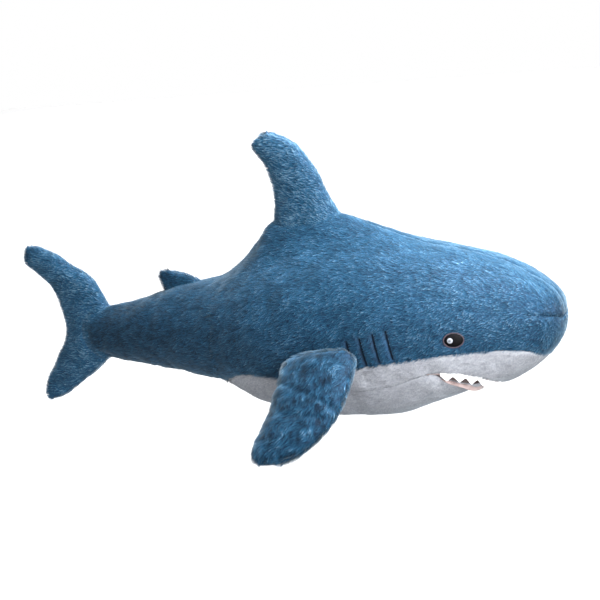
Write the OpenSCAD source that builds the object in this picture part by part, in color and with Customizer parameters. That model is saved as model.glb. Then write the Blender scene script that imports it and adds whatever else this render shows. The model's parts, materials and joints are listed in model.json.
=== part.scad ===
// Plush shark: a fibre-stuffed bag of sewn plush panels, with separately sewn and
// stuffed fins, a felt tooth strip, embroidered eyes and stitched gill lines.
// +X is towards the nose, +Z is up and the shark's right side is -Y. The origin is on
// the resting surface, under the middle of the bounding box. Millimetres and degrees.

/* [Body] */
// Length from the nose to the tip of the upper tail lobe
total_length = 1000; // [995:1:1005]
// Thickness of the plush fabric, backing and pile pressed flat
fabric = 4; // [3:0.5:5]
// Gap left between a fabric panel and what lies beside it
gap = 0.3; // [0.2:0.1:0.5]

/* [Mouth] */
// Slope of the lower jaw's top at rest, down towards the nose
jaw_slope = 34; // [32:0.5:36]
// Angle by which the lower jaw opens further
jaw_travel = 10; // [6:1:12]
// Front of the lower jaw
jaw_tip_x = 368; // [364:1:372]
// Height of one felt tooth
tooth_h = 12; // [9:1:13]
// Teeth on each side of the mouth
teeth_per_side = 7; // [5:1:9]

/* [Eyes and gills] */
// Width of the embroidered eye
eye_w = 32; // [28:1:38]
// Height of the embroidered eye
eye_h = 25; // [20:1:30]
// Stitched gill lines on each side
gill_count = 4; // [3:1:5]
// Thickness of the embroidery thread
thread_d = 2.4; // [1.5:0.1:3]

/* [Joints] */
// Radius of the drum on which the tail bends sideways
waist_r = 75; // [73:1:80]
// Radius of the drum on which the tail fin wags
stock_r = 30; // [28:1:32]
// Clearance of the moving pieces
play = 0.6; // [0.5:0.1:1]

/* [Hidden] */

plush_blue = [0.16, 0.35, 0.52];
plush_white = [0.90, 0.90, 0.92];
felt_white = [0.97, 0.97, 0.97];
lining_pink = [0.80, 0.60, 0.58];
fibre_white = [0.95, 0.95, 0.93];
thread_black = [0.05, 0.05, 0.06];
thread_tan = [0.60, 0.52, 0.52];
thread_navy = [0.05, 0.12, 0.22];

nose_x = total_length / 2;
nose_z = 164;
corner_x = 308;
corner_z = 102;
lip_x = 404;
nose_cap_x = lip_x;
waist_x = -190;
stock_x = -341;
lining = 2;
// Depth of the stuffing's faces below the fabric's outer surface.
fill_depth = fabric + 3.4;
far = 700;

// Profiles of the stuffed body, each a list of [x, value].
// Dome of the back, without the ridge that carries the dorsal fin.
dome_line = [[-400, 180], [-341, 184], [-265, 200], [-190, 222], [-98, 238], [0, 266], [100, 290],
    [200, 299], [290, 287], [365, 271], [415, 255], [455, 240], [500, 232]];
// Height of the ridge above the dome.
ridge_line = [[-400, 0], [-110, 0], [-60, 13], [-20, 41], [10, 61], [60, 60],
    [130, 47], [177, 27], [215, 13], [270, 2], [310, 0], [500, 0]];
// Underside, through the front of the upper lip.
keel_line = [[-400, 88], [-341, 85], [-250, 74], [-150, 62], [-95, 53], [-50, 23], [0, 6],
    [60, -3], [190, -3], [232, 2], [290, 24], [330, 34], [376, 46], [lip_x, 61.98],
    [440, 77], [500, 98]];
// Half width.
plan_line = [[-400, 24], [-341, 30], [-300, 40], [-240, 55], [-190, 68], [-80, 100],
    [0, 125], [80, 141], [180, 148], [250, 145], [310, 136], [370, 120], [420, 104], [500, 92]];
// Height of the widest point.
girth_line = [[-400, 136], [-250, 144], [-100, 142], [0, 136], [150, 136], [300, 146], [400, 158], [500, 164]];
// Height of the seam between the blue back and the white underside.
colour_line = [[-112, 54], [-80, 78], [-54, 88], [-10, 92], [40, 91], [120, 97], [189, 107],
    [265, 122], [300, 128], [340, 132], [387, 133], [415, 130], [443, 122], [456, 112], [467, 100]];
white_start_x = -104;
white_end_x = 466;
// Height of the seam between the cheeks and the belly, up to the mouth corner.
cheek_line = [[66, 86], [100, 74], [150, 70], [215, 75], [250, 83], [275, 91], [308, 102]];
cheek_start_x = 66;
// Height of the upper lip, from the mouth corner to the front.
lip_line = [[300, 104], [corner_x, corner_z], [330, 100], [355, 93], [380, 83], [395, 73], [lip_x, 62]];

// ---------------------------------------------------------------- curves

function slope(p, i) =
    let (a = p[max(i - 1, 0)], b = p[min(i + 1, len(p) - 1)]) (b[1] - a[1]) / (b[0] - a[0]);
function segment(p, x, i = 0) = (i >= len(p) - 2 || x < p[i + 1][0]) ? i : segment(p, x, i + 1);
// Smooth curve through the points of p, held level past its ends.
function curve(p, x0) =
    let (x = max(p[0][0], min(p[len(p) - 1][0], x0)), i = segment(p, x), h = p[i + 1][0] - p[i][0],
        t = (x - p[i][0]) / h, m0 = slope(p, i) * h, m1 = slope(p, i + 1) * h)
    p[i][1] * (1 + 2 * t) * pow(1 - t, 2) + m0 * t * pow(1 - t, 2)
    + p[i + 1][1] * t * t * (3 - 2 * t) + m1 * t * t * (t - 1);
function mix(a, b, t) = a + (b - a) * t;

// ---------------------------------------------------------------- body surface

cap_power = 2.4;
section_power = 2.15;
ridge_spread = 40;
// Closes the body into a blunt round nose, from 1 at nose_cap_x to 0 at the tip.
function closing(x, d) =
    let (u = max(0, min(1, (x - nose_cap_x) / (nose_x - d - nose_cap_x))))
    pow(1 - pow(u, cap_power), 1 / cap_power);
function half_width(x, d) = (curve(plan_line, x) - d) * closing(x, d);
function girth_z(x) = mix(nose_z, curve(girth_line, x), closing(x, 0));
function top_z(x, d) = mix(nose_z, curve(dome_line, x) - d, closing(x, d));
function keel_z(x, d) = mix(nose_z, curve(keel_line, x) + d, closing(x, d));
function rounded(v) = sign(v) * pow(abs(v), 2 / section_power);
// Point of the body at x, at angle t from the top round the right side, d inside the
// outer surface. The belly is flat where it would pass the resting surface.
function skin(x, t, d) =
    let (y = -half_width(x, d) * rounded(sin(t)), zg = girth_z(x),
        z = zg + (t <= 90 ? top_z(x, d) - zg : zg - keel_z(x, d)) * rounded(cos(t)),
        ridge = t <= 90 ? curve(ridge_line, x) * exp(-pow(y / ridge_spread, 2)) : 0)
    [x, y, max(d, z + ridge)];
// Angle at which the section at x has height z.
function angle_at(x, z) =
    let (zg = girth_z(x), up = z > zg, reach = up ? top_z(x, 0) - zg : zg - keel_z(x, 0),
        q = pow(max(0, min(1, abs(z - zg) / reach)), section_power / 2))
    up ? acos(q) : 90 + asin(q);
function lip_z(x) = curve(lip_line, x);
function colour_angle(x) =
    x >= white_end_x || x < white_start_x ? 180 : min(178.5, angle_at(x, curve(colour_line, x)));

// ---------------------------------------------------------------- solids from grids

// Closed tube from rings of points with the same number of points each.
module tube_solid(rings) {
    rows = len(rings);
    n = len(rings[0]);
    points = [for (ring = rings) each ring];
    sides = [for (i = [0 : rows - 2], j = [0 : n - 1])
        let (a = i * n + j, b = i * n + (j + 1) % n) each [[a, a + n, b], [b, a + n, b + n]]];
    first = [for (j = [1 : n - 2]) [0, j, j + 1]];
    last = [for (j = [1 : n - 2]) let (o = (rows - 1) * n) [o, o + j + 1, o + j]];
    polyhedron(points, concat(sides, first, last));
}

// Closed curved sheet between two grids of the same size.
module sheet_solid(outer, inner) {
    rows = len(outer);
    n = len(outer[0]);
    h = rows * n;
    points = concat([for (row = outer) each row], [for (row = inner) each row]);
    skins = [for (i = [0 : rows - 2], j = [0 : n - 2]) let (a = i * n + j)
        each [[a, a + n, a + 1], [a + 1, a + n, a + n + 1],
              [a + h, a + 1 + h, a + n + h], [a + 1 + h, a + n + 1 + h, a + n + h]]];
    low = [for (j = [0 : n - 2]) each [[j, j + 1, j + h], [j + 1, j + 1 + h, j + h]]];
    high = [for (j = [0 : n - 2]) let (o = (rows - 1) * n + j)
        each [[o, o + h, o + 1], [o + 1, o + h, o + 1 + h]]];
    near = [for (i = [0 : rows - 2]) let (o = i * n) each [[o, o + h, o + n], [o + n, o + h, o + n + h]]];
    past = [for (i = [0 : rows - 2]) let (o = i * n + n - 1)
        each [[o, o + n, o + h], [o + n, o + n + h, o + h]]];
    polyhedron(points, concat(skins, low, high, near, past));
}

// Round thread laid along a list of points.
module thread(points, r, sides = 6) {
    last = len(points) - 1;
    tube_solid([for (i = [0 : last])
        let (run = points[min(i + 1, last)] - points[max(i - 1, 0)], k = run / norm(run),
            side = cross(k, [1, 0.3, 0.2]), u = side / norm(side), v = cross(k, u))
        [for (j = [0 : sides - 1]) points[i] + r * (cos(360 * j / sides) * u + sin(360 * j / sides) * v)]]);
}

module mirrored() { mirror([0, 1, 0]) children(); }

// ---------------------------------------------------------------- cutting shapes

// Everything on the tail's side of the waist.
module waist_side(clearance) {
    translate([waist_x, 0, -10]) {
        cylinder(h = 400, r = waist_r + clearance, $fn = 96);
        translate([-far, -far / 2, 0]) cube([far, far, 400]);
    }
}

// Everything on the body's side of the tail fin's joint, from height low to high.
module stock_side(clearance, low, high) {
    translate([stock_x, 0, low]) {
        cylinder(h = high - low, r = stock_r + clearance, $fn = 64);
        translate([0, -far / 2, 0]) cube([far, far, high - low]);
    }
}

// Prism of an XZ outline, right across the body.
module across(outline) {
    rotate([90, 0, 0]) translate([0, 0, -far / 2]) linear_extrude(far) polygon(outline);
}

// The mouth: all that lies below the upper lip and ahead of the throat, raised by up.
module mouth_space(up = 0) {
    lean = tan(jaw_travel + 2);
    floor_z = -20;
    across(concat(
        [for (i = [0 : 8]) let (x = mix(corner_x, lip_x, i / 8)) [x - (i == 0 ? up : 0), lip_z(x) + up]],
        [[lip_x + 12, lip_z(lip_x) - 8 + up], [lip_x + 12, floor_z],
         [corner_x - (corner_z - floor_z) * lean - up, floor_z]]));
}

// Space of the lower jaw, its top lowered by down and its outline drawn in by inset.
module jaw_space(down = 0, inset = 0) {
    start_x = corner_x + 2;
    tip_x = jaw_tip_x - inset;
    half_w = jaw_half_w - inset;
    top = corner_z - 3 - down;
    drop = tan(jaw_slope);
    intersection() {
        across([[start_x, top - 2 * drop], [jaw_tip_x, top - (jaw_tip_x - corner_x) * drop],
            [jaw_tip_x, -20], [start_x, -20]]);
        linear_extrude(200) polygon([for (a = [-90 : 7.5 : 90])
            [start_x - 1 + (tip_x - start_x + 1) * cos(a), half_w * sin(a)]]);
    }
}

// ---------------------------------------------------------------- body

ring_steps = 13;
// The whole body, d inside its outer surface, as a closed solid between its ends.
module body_solid(d, from_x, to_x, narrow = 1) {
    steps = ceil((to_x - from_x) / 30);
    nose = to_x > nose_cap_x;
    end_x = nose ? nose_cap_x : to_x;
    straight = [for (i = [0 : steps]) mix(from_x, end_x, i / steps)];
    xs = nose ? concat(straight, [for (a = [20, 38, 54, 67, 77, 84.5, 88.6])
        nose_cap_x + (nose_x - d - nose_cap_x) * sin(a)]) : straight;
    function ring_point(x, j, side) =
        let (p = skin(x, 180 * j / ring_steps, d)) [p[0], side * p[1] * narrow, p[2]];
    tube_solid([for (x = xs) concat([for (j = [0 : ring_steps]) ring_point(x, j, 1)],
        [for (j = [ring_steps - 1 : -1 : 1]) ring_point(x, j, -1)])]);
}

// Station x of a surface d inside the outer one, which ends d short of the nose.
function drawn_in(x, d) = x <= nose_cap_x ? x
    : mix(nose_cap_x, nose_x - d, (x - nose_cap_x) / (nose_x - nose_cap_x));
// Sheet of fabric on the body, at the stations xs, between the angles lows and highs.
module panel(xs, lows, highs, steps) {
    function grid(d) = [for (i = [0 : len(xs) - 1])
        [for (j = [0 : steps]) skin(drawn_in(xs[i], d), mix(lows[i], highs[i], j / steps), d)]];
    sheet_solid(grid(0), grid(fabric));
}

// Angle that each panel keeps from the middle of its seam.
seam_angle = 0.12;
// Stations shared by all panels, so that their seams meet: the waist, the white belly,
// the cheeks, the lip and the round nose.
belly_xs = concat([white_start_x, -92, -72], [for (x = [-48 : 24 : 60]) x]);
cheek_xs = [for (i = [0 : 9]) mix(cheek_start_x, corner_x, i / 9)];
lip_xs = [for (a = [15 : 15 : 90]) corner_x + (lip_x - corner_x) * sin(a)];
nose_xs = [for (a = [48, 58, 67, 75, 82, 87]) nose_cap_x + (nose_x - nose_cap_x) * sin(a)];
trunk_xs = concat([waist_x - 5, -170, -147, -125], belly_xs, cheek_xs, lip_xs,
    [420, 438, white_end_x - 6], nose_xs);

module back_panel() {
    difference() {
        panel(trunk_xs, [for (x = trunk_xs) seam_angle],
            [for (x = trunk_xs) colour_angle(x) - seam_angle], 10);
        waist_side(play / 2);
    }
}

function cheek_angle(x) = x <= cheek_start_x ? colour_angle(x) + 4 * seam_angle
    : x < corner_x ? angle_at(x, curve(cheek_line, x)) : x <= lip_x ? angle_at(x, lip_z(x)) : 180;
module muzzle_panel() {
    xs = concat(cheek_xs, lip_xs, [420, 438, white_end_x - 6]);
    panel(xs, [for (x = xs) colour_angle(x) + seam_angle], [for (x = xs) cheek_angle(x) - seam_angle], 5);
}

module belly_panel() {
    xs = concat(belly_xs, cheek_xs);
    edge = [for (x = xs) min(179, cheek_angle(x) + 2 * seam_angle)];
    difference() {
        union() {
            panel(xs, edge, [for (x = xs) 180], 6);
            mirrored() panel(xs, edge, [for (x = xs) 180], 6);
        }
        mouth_space();
    }
}

module body_stuffing() {
    difference() {
        body_solid(fill_depth, waist_x, nose_x);
        waist_side(play / 2);
        mouth_space(lining + gap);
    }
}

module palate_lining() {
    intersection() {
        body_solid(fabric + gap, corner_x - 10, nose_x);
        difference() {
            mouth_space(lining);
            mouth_space();
            across([[0, -20], [corner_x + 1, -20], [corner_x + 1, 300], [0, 300]]);
        }
    }
}

// Point of the upper lip, from the right corner at u = -1 round the front to u = 1.
function lip_point(u) =
    let (x = corner_x + 2 + (lip_x - corner_x - 2) * cos(90 * abs(u)), p = skin(x, cheek_angle(x), 0))
    [x, u < 0 ? p[1] : -p[1], p[2]];
module upper_teeth() {
    band = 4;
    felt = 1.8;
    steps = 4 * teeth_per_side;
    us = [for (k = [0 : steps]) -1 + 2 * k / steps];
    function inward(u) = let (run = lip_point(min(1, u + 0.02)) - lip_point(max(-1, u - 0.02)))
        [-run[1], run[0], 0] / norm([run[0], run[1]]);
    function foot(k) = band + (k % 2 == 1 ? tooth_h : 0);
    function column(k, depth) = let (p = lip_point(us[k]) + depth * inward(us[k]))
        [[p[0], p[1], p[2] - gap], [p[0], p[1], p[2] - gap - foot(k)]];
    color(felt_white)
        sheet_solid([for (k = [0 : steps]) column(k, 1)], [for (k = [0 : steps]) column(k, 1 + felt)]);
}

// ---------------------------------------------------------------- stitched details, right side

eye_x = 350;
eye_z = 158;
function on_skin(x, z, lift) = skin(x, angle_at(x, z), -lift);
// Oval patch on the skin, between two heights above it.
module oval_patch(x, z, w, h, low, high) {
    us = [for (a = [-78 : 19.5 : 78]) sin(a)];
    function row(u, lift) = [for (v = [-1 : 0.5 : 1])
        on_skin(x + u * w / 2, z + v * sqrt(1 - u * u) * h / 2, lift)];
    sheet_solid([for (u = us) row(u, low)], [for (u = us) row(u, high)]);
}
module eye_patch() {
    color(thread_black) oval_patch(eye_x, eye_z, eye_w - thread_d, eye_h - thread_d, 0.1, 1.6);
}
module eye_rim() {
    r = thread_d / 2;
    color(thread_tan) thread([for (a = [5 : 14 : 355])
        on_skin(eye_x + (eye_w / 2 + r / 2) * cos(a), eye_z + (eye_h / 2 + r / 2) * sin(a), r + 0.1)], r);
}
module eye_highlight() { color(felt_white) oval_patch(eye_x - 5, eye_z, 7, 7, 1.7, 2.6); }

// Gill lines lean forward towards the top of the head.
module gill_stitches() {
    r = thread_d / 2;
    color(thread_navy) for (i = [0 : gill_count - 1]) {
        u = i / (gill_count - 1);
        top = [mix(179, 245, u), mix(162, 178, u)];
        foot = [mix(188, 254, u), mix(116, 130, u)];
        thread([for (v = [0 : 0.125 : 1]) let (p = mix(top, foot, v)) on_skin(p[0], p[1], r + 0.1)], r);
    }
}

module nose_dart_stitch() {
    r = thread_d / 3;
    t = 70;
    lift = r + 0.3;
    right = [for (a = [34 : 6 : 88]) skin(nose_cap_x + (nose_x + lift - nose_cap_x) * sin(a), t, -lift)];
    left = [for (i = [len(right) - 1 : -1 : 0]) [right[i][0], -right[i][1], right[i][2]]];
    color(thread_navy) thread(concat(right, left), r);
}

// ---------------------------------------------------------------- lower jaw

// Width of the lower jaw, as a share of the body's.
jaw_narrow = 0.96;
jaw_half_w = 122;
module jaw_solid(d, down, inset) {
    intersection() {
        body_solid(d, corner_x - 20, nose_cap_x, jaw_narrow);
        jaw_space(down, inset);
    }
}
module jaw_panel() {
    difference() {
        jaw_solid(0, 0, 0);
        jaw_solid(fabric, -1, fabric);
        translate([corner_x, -110, 0]) cube([2 + fabric, 220, 90]);
    }
}
module jaw_lining() {
    inner = fabric + gap;
    difference() {
        jaw_solid(inner, 0, inner);
        jaw_solid(0, lining, 0);
    }
}
module jaw_stuffing() { jaw_solid(fabric + gap, lining + gap, fabric + gap); }

// ---------------------------------------------------------------- tail

tail_start_x = -100;
tail_end_x = -385;
module tail_space() {
    intersection() {
        children();
        waist_side(-play / 2);
        stock_side(-play / 2, 0, 400);
    }
}
module tail_stuffing() { tail_space() body_solid(fill_depth, tail_end_x, tail_start_x); }
module tail_panel() {
    xs = [for (i = [0 : 11]) mix(tail_end_x, tail_start_x, i / 11)];
    tail_space() panel(xs, [for (x = xs) seam_angle], [for (x = xs) 180 - seam_angle], 12);
}

// ---------------------------------------------------------------- fins

// A fin is two sheets of fabric sewn round their edge over a stuffing. rows holds, from
// the root to the tip, [rear point, front point, half thickness] in the fin's own plane.
fin_power = 2.4;
fin_cs = [-1, -0.93, -0.75, -0.4, 0, 0.4, 0.75, 0.93, 1];
stuffing_cs = [-0.78, -0.6, -0.3, 0, 0.3, 0.6, 0.78];
function fin_thickness(half, c) = max(fabric + 0.1, half * pow(1 - pow(abs(c), fin_power), 1 / fin_power));
function fin_lining(half, c) = max(0.1, fin_thickness(half, c) - fabric);
function fin_filling(half, c) = max(0.4, fin_thickness(half, c) - fabric - gap - 0.5);
// Height of the back's centre line, with the ridge.
function back_z(x) = top_z(x, 0) + curve(ridge_line, x);
// Point of an upright fin, kept clear of the back by seat when it stands on the back.
function fin_point(row, c, y, seat) = let (p = mix(row[0], row[1], (1 + c) / 2))
    [p[0], y, seat > 0 ? max(p[1], back_z(p[0]) + seat) : p[1]];

// Right side of a fin that stands upright in the plane y = 0.
module upright_panel(rows, seat = 0) {
    sheet_solid([for (row = rows) [for (c = fin_cs) fin_point(row, c, -fin_thickness(row[2], c), seat)]],
        [for (row = rows) [for (c = fin_cs) fin_point(row, c, -fin_lining(row[2], c), seat)]]);
}
module upright_stuffing(rows, seat = 0) {
    function side(s) = [for (i = [0 : len(rows) - 2]) let (row = rows[i])
        [for (c = stuffing_cs) fin_point(row, c, s * fin_filling(row[2], c), seat)]];
    sheet_solid(side(-1), side(1));
}

dorsal_seat = 2;
second_dorsal_seat = 3;
dorsal_rows = [
    [[10, 320], [148, 320], 18],
    [[14, 354], [132, 354], 18],
    [[15, 378], [116, 378], 17],
    [[13, 402], [102, 403], 16],
    [[6, 428], [85, 429], 15],
    [[-6, 449], [68, 451], 13],
    [[-11, 460], [54, 464], 12],
    [[-9, 471], [42, 473], 10],
    [[0, 478], [28, 480], 8]
];
second_dorsal_rows = [
    [[-212, 200], [-152, 220], 6],
    [[-216, 226], [-164, 236], 9],
    [[-220, 236], [-182, 241], 8],
    [[-223, 243], [-198, 246], 7],
    [[-221, 248], [-208, 249], 5.5]
];
tail_fin_rows = [
    [[-493, 4], [-480, 3], 6],
    [[-497, 14], [-466, 6], 7],
    [[-491, 38], [-444, 17], 9],
    [[-475, 68], [-413, 38], 12],
    [[-455, 98], [-378, 66], 15],
    [[-440, 120], [-352, 95], 16],
    [[-433, 142], [-350, 138], 16],
    [[-436, 170], [-349, 180], 16],
    [[-444, 198], [-353, 212], 15],
    [[-455, 222], [-368, 238], 14],
    [[-476, 246], [-402, 265], 12],
    [[-493, 262], [-436, 287], 10],
    [[-501.5, 273], [-462, 297], 8],
    [[-497, 287], [-478, 300], 6.5]
];
module tail_fin_space() {
    difference() {
        children();
        stock_side(play / 2, 72, 193);
    }
}

// Flippers: rows of [distance from the hinge, rear edge, front edge, half thickness].
flipper_root = [132, -161, 130];
flipper_chord = [0.985, -0.07, 0.16];
flipper_span = [-0.23, -0.70, -0.675];
flipper_up = -cross(flipper_chord, flipper_span);
flipper_rows = [
    [-12, -45, 46, 5.5], [-6, -51, 53, 10.5], [0, -54, 60, 13.5], [30, -52, 74, 17],
    [60, -48, 83, 18], [90, -44, 85, 17], [120, -41, 77, 15], [146, -38, 62, 13],
    [164, -31, 46, 10.5], [175, -21, 28, 8], [180, -10, 12, 6.5]
];
function flipper_spot(row, c, lift) = flipper_root + row[0] * flipper_span
    + mix(row[1], row[2], (1 + c) / 2) * flipper_chord + lift * flipper_up;
module flipper_panel(side) {
    inner = [for (row = flipper_rows) [for (c = fin_cs) flipper_spot(row, c, side * fin_lining(row[3], c))]];
    outer = [for (row = flipper_rows) [for (c = fin_cs) flipper_spot(row, c, side * fin_thickness(row[3], c))]];
    if (side > 0) sheet_solid(inner, outer);
    else sheet_solid(outer, inner);
}
module flipper_stuffing() {
    function side(s) = [for (i = [1 : len(flipper_rows) - 2]) let (row = flipper_rows[i])
        [for (c = stuffing_cs) flipper_spot(row, c, s * fin_filling(row[3], c))]];
    sheet_solid(side(-1), side(1));
}

module dorsal_stuffing() { upright_stuffing(dorsal_rows, dorsal_seat); }
module dorsal_panel() { upright_panel(dorsal_rows, dorsal_seat); }
module second_dorsal_stuffing() { upright_stuffing(second_dorsal_rows, second_dorsal_seat); }
module second_dorsal_panel() { upright_panel(second_dorsal_rows, second_dorsal_seat); }
module tail_fin_stuffing() { tail_fin_space() upright_stuffing(tail_fin_rows); }
module tail_fin_panel() { tail_fin_space() upright_panel(tail_fin_rows); }

// ---------------------------------------------------------------- nodes

module blue() { color(plush_blue) children(); }
module white() { color(plush_white) children(); }
module fibre() { color(fibre_white) children(); }

fibre() body_stuffing();
blue() back_panel();  // back_panel_right
blue() mirrored() back_panel();  // back_panel_left
white() belly_panel();
white() muzzle_panel();  // muzzle_panel_right
white() mirrored() muzzle_panel();  // muzzle_panel_left
color(lining_pink) palate_lining();
upper_teeth();
eye_patch();  // eye_patch_right
mirrored() eye_patch();  // eye_patch_left
eye_rim();  // eye_rim_right
mirrored() eye_rim();  // eye_rim_left
eye_highlight();  // eye_highlight_right
mirrored() eye_highlight();  // eye_highlight_left
gill_stitches();  // gill_stitches_right
mirrored() gill_stitches();  // gill_stitches_left
nose_dart_stitch();
fibre() jaw_stuffing();
white() jaw_panel();
color(lining_pink) jaw_lining();
fibre() tail_stuffing();
blue() tail_panel();  // tail_panel_right
blue() mirrored() tail_panel();  // tail_panel_left
fibre() second_dorsal_stuffing();
blue() second_dorsal_panel();  // second_dorsal_panel_right
blue() mirrored() second_dorsal_panel();  // second_dorsal_panel_left
fibre() dorsal_stuffing();
blue() dorsal_panel();  // dorsal_panel_right
blue() mirrored() dorsal_panel();  // dorsal_panel_left
fibre() tail_fin_stuffing();
blue() tail_fin_panel();  // tail_fin_panel_right
blue() mirrored() tail_fin_panel();  // tail_fin_panel_left
fibre() flipper_stuffing();  // flipper_stuffing_right
blue() flipper_panel(1);  // flipper_top_right
blue() flipper_panel(-1);  // flipper_underside_right
fibre() mirrored() flipper_stuffing();  // flipper_stuffing_left
blue() mirrored() flipper_panel(1);  // flipper_top_left
blue() mirrored() flipper_panel(-1);  // flipper_underside_left
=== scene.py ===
"""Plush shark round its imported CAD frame: sewn skins with a combed pile, felt teeth,
embroidered eyes, stitched gill lines and stuffed fins that bend at their joints.

+X is towards the nose, +Z is up and the shark's right side is -Y. Lengths are in metres
and angles in degrees. The outlines follow those of the CAD source, refined by millimetres.
"""

import json
import math

import bpy
import numpy as np
from mathutils import Matrix, Vector

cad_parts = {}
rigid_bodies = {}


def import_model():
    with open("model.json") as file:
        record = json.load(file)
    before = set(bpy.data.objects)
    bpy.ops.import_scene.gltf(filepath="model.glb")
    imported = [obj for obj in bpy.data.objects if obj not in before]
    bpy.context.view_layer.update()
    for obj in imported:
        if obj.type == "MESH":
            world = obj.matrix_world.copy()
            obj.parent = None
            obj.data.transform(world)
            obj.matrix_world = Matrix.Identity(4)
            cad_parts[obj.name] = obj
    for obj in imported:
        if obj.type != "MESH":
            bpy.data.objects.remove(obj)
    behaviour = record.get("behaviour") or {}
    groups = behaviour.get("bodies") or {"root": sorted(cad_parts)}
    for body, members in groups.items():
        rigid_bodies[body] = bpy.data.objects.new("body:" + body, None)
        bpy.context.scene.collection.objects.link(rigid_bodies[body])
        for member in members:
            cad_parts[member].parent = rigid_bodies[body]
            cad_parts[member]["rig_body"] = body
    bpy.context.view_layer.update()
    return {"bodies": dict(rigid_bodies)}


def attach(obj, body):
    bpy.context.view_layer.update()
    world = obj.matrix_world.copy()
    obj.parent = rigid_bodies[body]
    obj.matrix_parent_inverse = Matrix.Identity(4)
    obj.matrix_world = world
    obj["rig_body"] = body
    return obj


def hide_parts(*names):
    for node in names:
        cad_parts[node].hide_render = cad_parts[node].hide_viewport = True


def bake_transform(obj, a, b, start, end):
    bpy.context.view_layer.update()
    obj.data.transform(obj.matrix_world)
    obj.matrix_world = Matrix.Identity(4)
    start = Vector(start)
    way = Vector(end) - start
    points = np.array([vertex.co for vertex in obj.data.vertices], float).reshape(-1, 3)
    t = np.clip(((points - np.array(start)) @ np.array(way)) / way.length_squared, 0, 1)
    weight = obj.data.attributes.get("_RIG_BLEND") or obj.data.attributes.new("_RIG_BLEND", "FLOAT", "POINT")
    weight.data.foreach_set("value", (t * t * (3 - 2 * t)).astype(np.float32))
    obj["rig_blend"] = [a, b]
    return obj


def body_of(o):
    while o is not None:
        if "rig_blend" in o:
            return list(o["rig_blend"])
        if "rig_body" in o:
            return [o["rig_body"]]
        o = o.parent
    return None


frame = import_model()

MM = 0.001
RIGHT, LEFT = -1, 1
SIDES = {"right": RIGHT, "left": LEFT}

# ---- profiles

# Each line is a list of (x, height), and PLAN_LINE of (x, half width).
NOSE_X, NOSE_Z = 0.500, 0.164
CORNER_X, CORNER_Z = 0.308, 0.102
LIP_X = 0.404
TAIL_CAP_X, TAIL_END_X, TAIL_Z = -0.353, -0.386, 0.136
JAW_TIP_X, JAW_SLOPE, JAW_HALF_W = 0.368, 34, 0.122
THROAT_X = 0.304

DOME_LINE = [(-0.400, 0.180), (-0.341, 0.184), (-0.265, 0.200), (-0.190, 0.222), (-0.098, 0.238),
             (0.000, 0.266), (0.100, 0.290), (0.200, 0.299), (0.290, 0.287), (0.365, 0.271),
             (0.415, 0.255), (0.455, 0.240), (0.500, 0.232)]
RIDGE_LINE = [(-0.400, 0.0), (-0.110, 0.0), (-0.060, 0.013), (-0.020, 0.041), (0.010, 0.061),
              (0.060, 0.060), (0.130, 0.047), (0.177, 0.027), (0.215, 0.013), (0.270, 0.002),
              (0.310, 0.0), (0.500, 0.0)]
KEEL_LINE = [(-0.400, 0.088), (-0.341, 0.085), (-0.250, 0.074), (-0.150, 0.062), (-0.095, 0.054),
             (-0.050, 0.031), (0.000, 0.013), (0.060, 0.001), (0.120, 0.001), (0.190, 0.004),
             (0.232, 0.009), (0.290, 0.030), (0.330, 0.043), (0.376, 0.054), (LIP_X, 0.06198),
             (0.440, 0.077), (0.500, 0.098)]
PLAN_LINE = [(-0.400, 0.022), (-0.372, 0.024), (-0.341, 0.028), (-0.300, 0.039),
             (-0.240, 0.055), (-0.190, 0.068), (-0.080, 0.100), (0.000, 0.125), (0.080, 0.141),
             (0.180, 0.148), (0.250, 0.145), (0.310, 0.136), (0.370, 0.120), (0.420, 0.104),
             (0.500, 0.092)]
GIRTH_LINE = [(-0.400, 0.136), (-0.250, 0.144), (-0.100, 0.142), (0.000, 0.136), (0.150, 0.136),
              (0.300, 0.146), (0.400, 0.158), (0.500, 0.164)]
COLOUR_LINE = [(-0.088, 0.055), (-0.066, 0.073), (-0.044, 0.085), (-0.010, 0.091), (0.040, 0.092),
               (0.120, 0.101), (0.189, 0.114), (0.230, 0.121), (0.265, 0.126), (0.300, 0.130),
               (0.340, 0.133), (0.387, 0.135), (0.415, 0.134), (0.443, 0.130), (0.460, 0.122),
               (0.473, 0.108)]
CHEEK_LINE = [(0.066, 0.086), (0.100, 0.074), (0.150, 0.070), (0.215, 0.075), (0.250, 0.083),
              (0.275, 0.091), (CORNER_X, CORNER_Z)]
LIP_LINE = [(0.300, 0.104), (CORNER_X, CORNER_Z), (0.330, 0.100), (0.355, 0.093), (0.380, 0.083),
            (0.395, 0.073), (LIP_X, 0.062)]
WHITE_START_X, WHITE_END_X = -0.085, 0.473
CHEEK_START_X = 0.066

CAP_POWER, TAIL_CAP_POWER, SECTION_POWER = 2.4, 2.6, 2.15
RIDGE_SPREAD = 0.040


def mix(a, b, t):
    return a + (b - a) * t


def unit(v):
    return v / np.maximum(np.linalg.norm(v, axis=-1, keepdims=True), 1e-12)


def mirror(side):
    """Factors that take a point of the right side to the given side."""
    return np.array([1, 1 if side == RIGHT else -1, 1])


def smooth_step(low, high, x):
    t = np.clip((x - low) / (high - low), 0, 1)
    return t * t * (3 - 2 * t)


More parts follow.
